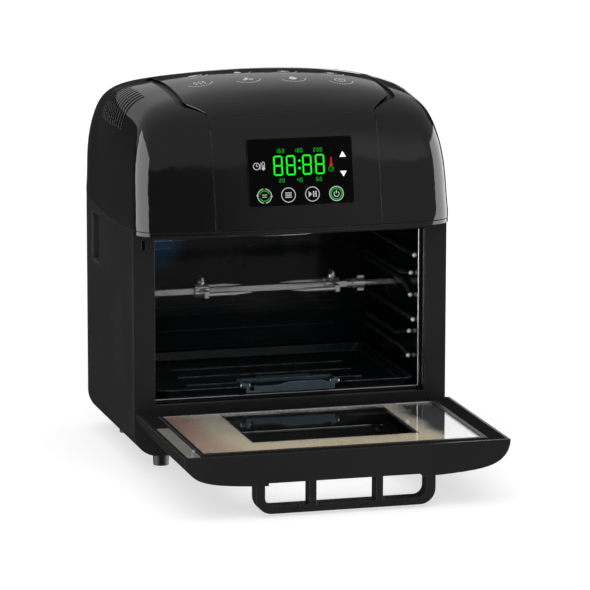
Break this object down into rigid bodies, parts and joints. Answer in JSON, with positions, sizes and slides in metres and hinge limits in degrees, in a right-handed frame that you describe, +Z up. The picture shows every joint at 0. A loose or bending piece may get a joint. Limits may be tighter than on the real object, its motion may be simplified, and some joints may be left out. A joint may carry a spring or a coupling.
{
  "type": "rotisserie oven",
  "caption": "Counter-top hot-air oven with a crowned black housing, drop-down glazed door, motor-driven spit with forks, drip tray and touch display.",
  "frame": {"origin": "on the table, under the middle of the footprint with the door open", "axes": "+Z up, +X to the user's right, +Y to the back of the oven"},
  "size_m": [0.3114, 0.4306, 0.3679],
  "materials": {
    "black_gloss": "polished moulded plastic",
    "black_satin": "satin moulded plastic",
    "display": "polished, printed from behind",
    "board": "laminate with soldered parts",
    "rubber": "moulded",
    "zinc_steel": "zinc plated",
    "enamel": "dark enamel on steel sheet",
    "bright_steel": "bright edge",
    "stainless": "drawn stainless",
    "tray_coat": "non-stick coat on steel",
    "fan_alu": "stamped",
    "fan_plastic": "moulded",
    "glass": "polished float"
  },
  "bodies": {
    "housing": {"base_pan": "black_satin", "side_panel_left": "black_satin", "side_panel_right": "black_satin", "back_panel": "black_satin", "front_frame": "black_satin", "bay_floor": "black_gloss", "top_cover": "black_gloss", "top_lid": "black_gloss", "lid_subframe": "black_satin", "control_fascia": "black_gloss", "display_glass": "display", "control_board": "board", "power_board": "board", "grip_cups": "black_satin", "rear_vent": "black_satin", "cord_inlet": "black_satin", "feet": "rubber", "case_screws": "zinc_steel", "liner_left": "enamel", "liner_right": "enamel", "liner_back": "enamel", "liner_floor": "enamel", "liner_ceiling": "enamel", "cavity_flange": "enamel", "cavity_trim": "bright_steel", "rack_rails_left": "enamel", "rack_rails_right": "enamel", "heat_shroud": "zinc_steel", "heating_element": "stainless", "fan_guard": "stainless", "fan_motor": "zinc_steel", "rotisserie_motor": "zinc_steel", "spit_bearing": "stainless", "hinge_brackets": "zinc_steel", "door_switch": "black_satin", "temperature_probe": "stainless"},
    "door": {"door_outer_shell": "black_gloss", "door_inner_frame": "black_satin", "glass_retainer": "bright_steel", "door_inner_glass": "glass", "window_mask": "bright_steel", "window_trim": "bright_steel", "door_outer_glass": "glass", "door_hinge_blocks": "zinc_steel", "hinge_pins": "zinc_steel", "latch_tongue": "bright_steel", "door_handle": "black_gloss", "handle_screws": "zinc_steel"},
    "spit": {"spit_rod": "stainless", "drive_socket": "stainless"},
    "fork_left": {"spit_fork_left": "stainless"},
    "fork_right": {"spit_fork_right": "stainless"},
    "thumb_left": {"thumb_screw_left": "stainless"},
    "thumb_right": {"thumb_screw_right": "stainless"},
    "fan": {"convection_fan": "fan_alu", "fan_shaft": "stainless", "cooling_fan": "fan_plastic"},
    "tray": {"drip_tray": "tray_coat", "tray_rivets": "bright_steel"},
    "bail": {"tray_handle": "tray_coat"}
  },
  "joints": [
    {"name": "door_hinge", "type": "hinge", "parent": "housing", "child": "door", "pos_m": [0, -0.02895, 0.0447], "axis": [-1, 0, 0], "range_deg": [0, 90]},
    {"name": "spit_spin", "type": "hinge", "parent": "housing", "child": "spit", "pos_m": [0, 0.07845, 0.1553], "axis": [1, 0, 0], "continuous": true},
    {"name": "fork_left_slide", "type": "slide", "parent": "spit", "child": "fork_left", "axis": [1, 0, 0], "range_m": [-0.035, 0.018]},
    {"name": "fork_right_slide", "type": "slide", "parent": "spit", "child": "fork_right", "axis": [1, 0, 0], "range_m": [-0.018, 0.007]},
    {"name": "thumb_left_turn", "type": "hinge", "parent": "fork_left", "child": "thumb_left", "pos_m": [-0.066, 0.07845, 0.1553], "axis": [0, 0, 1], "range_deg": [0, 720]},
    {"name": "thumb_right_turn", "type": "hinge", "parent": "fork_right", "child": "thumb_right", "pos_m": [0.066, 0.07845, 0.1553], "axis": [0, 0, 1], "range_deg": [0, 720]},
    {"name": "fan_spin", "type": "hinge", "parent": "housing", "child": "fan", "pos_m": [0, 0.08945, 0.26], "axis": [0, 0, 1], "continuous": true},
    {"name": "tray_slide", "type": "slide", "parent": "housing", "child": "tray", "axis": [0, 1, 0], "range_m": [-0.16, 0]},
    {"name": "bail_fold", "type": "hinge", "parent": "tray", "child": "bail", "pos_m": [0, -0.00795, 0.0776], "axis": [1, 0, 0], "range_deg": [0, 85]}
  ]
}
